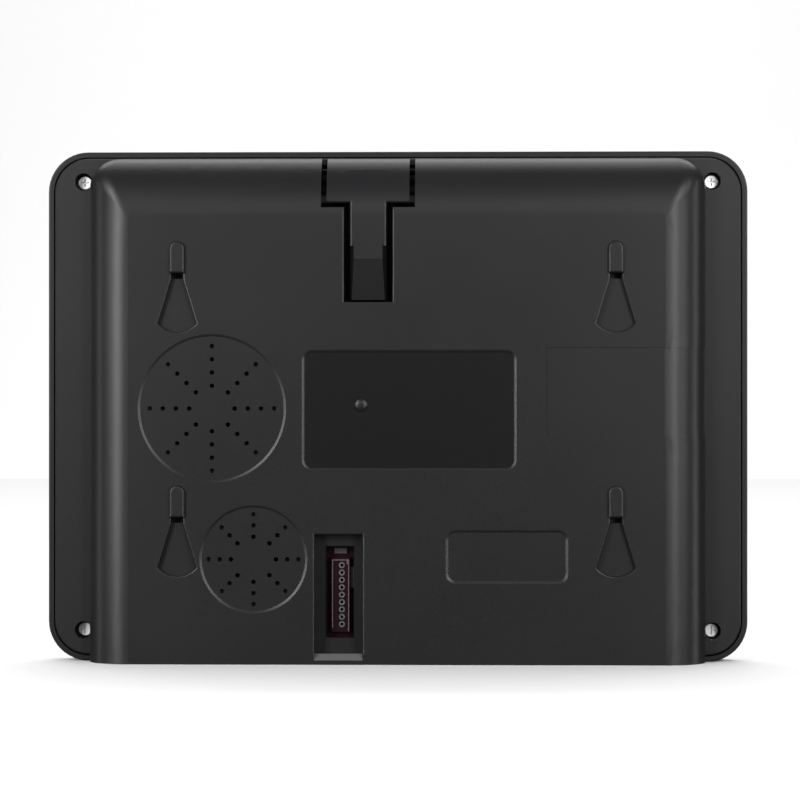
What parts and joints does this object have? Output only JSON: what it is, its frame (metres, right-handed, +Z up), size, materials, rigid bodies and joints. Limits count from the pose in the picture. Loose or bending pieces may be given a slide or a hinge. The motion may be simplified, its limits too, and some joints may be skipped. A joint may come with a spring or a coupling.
{
  "type": "digital photo frame",
  "caption": "Wall-hung digital photo frame with touch lens, raised back, hook pockets, speaker grilles, harness socket and a sprung release latch.",
  "frame": {"origin": "middle of the bottom edge, half way through the depth", "axes": "+Z up, screen faces -Y, raised back faces +Y, +X to the right seen from the screen side"},
  "size_m": [0.238, 0.026, 0.1735],
  "materials": {
    "frame_plastic": "semi-gloss black",
    "cover_plastic": "fine texture, black",
    "latch_plastic": "fine texture, black",
    "lens_glass": "clear with a black printed border",
    "tape": "foam adhesive",
    "zinc_steel": "bright zinc plated",
    "sheet_steel": "plain",
    "chassis_black": "black painted steel",
    "lcd_glass": "dark, switched off",
    "white_film": "white diffusing film",
    "clear_acrylic": "clear acrylic",
    "tray_aluminium": "satin",
    "led_white": "white packages on a flexible strip",
    "board_red": "dark red solder mask",
    "chip_black": "moulded epoxy",
    "inductor_grey": "ferrite",
    "can_aluminium": "bright sleeve-less cans",
    "crystal_steel": "bright",
    "passive_tan": "ceramic chips",
    "connector_cream": "cream nylon",
    "socket_dark": "dark nylon",
    "tin": "tinned",
    "ribbon_film": "amber polyimide",
    "basket_steel": "black stamped steel",
    "magnet_steel": "zinc plated",
    "cone_paper": "black cone",
    "gasket_foam": "foam ring",
    "lead_jacket": "soft insulation",
    "spring_steel": "spring wire"
  },
  "bodies": {
    "housing": {"front_frame": "frame_plastic", "rear_cover": "cover_plastic", "case_screws": "zinc_steel", "chassis_screws": "zinc_steel", "board_screws": "zinc_steel", "touch_lens": "lens_glass", "lens_tape": "tape", "lcd_steel_frame": "sheet_steel", "lcd_cell": "lcd_glass", "optical_sheets": "white_film", "light_guide": "clear_acrylic", "backlight_tray": "tray_aluminium", "led_strip": "led_white", "lcd_chassis": "chassis_black", "main_board": "board_red", "processor_chip": "chip_black", "memory_chips": "chip_black", "power_inductors": "inductor_grey", "capacitors": "can_aluminium", "crystal": "crystal_steel", "small_passives": "passive_tan", "lcd_connector": "connector_cream", "speaker_headers": "connector_cream", "touch_connector": "connector_cream", "harness_socket": "socket_dark", "harness_contacts": "tin", "main_speaker_magnet": "magnet_steel", "main_speaker_cone": "cone_paper", "main_speaker_gasket": "gasket_foam", "main_speaker_basket": "basket_steel", "small_speaker_magnet": "magnet_steel", "small_speaker_cone": "cone_paper", "small_speaker_gasket": "gasket_foam", "small_speaker_basket": "basket_steel", "speaker_clamps": "zinc_steel", "speaker_screws": "zinc_steel", "main_speaker_leads": "lead_jacket", "small_speaker_leads": "lead_jacket", "lcd_ribbon": "ribbon_film", "touch_ribbon": "ribbon_film", "latch_pin": "zinc_steel", "latch_spring": "spring_steel"},
    "latch": {"release_latch": "latch_plastic"}
  },
  "joints": [
    {"name": "latch_press", "type": "hinge", "parent": "housing", "child": "latch", "pos_m": [0, 0.0015, 0.1663], "axis": [-1, 0, 0], "range_deg": [0, 6], "stiffness_Nm_per_rad": 0.1, "springref_deg": -5.73, "deforming": ["latch_spring"]}
  ]
}
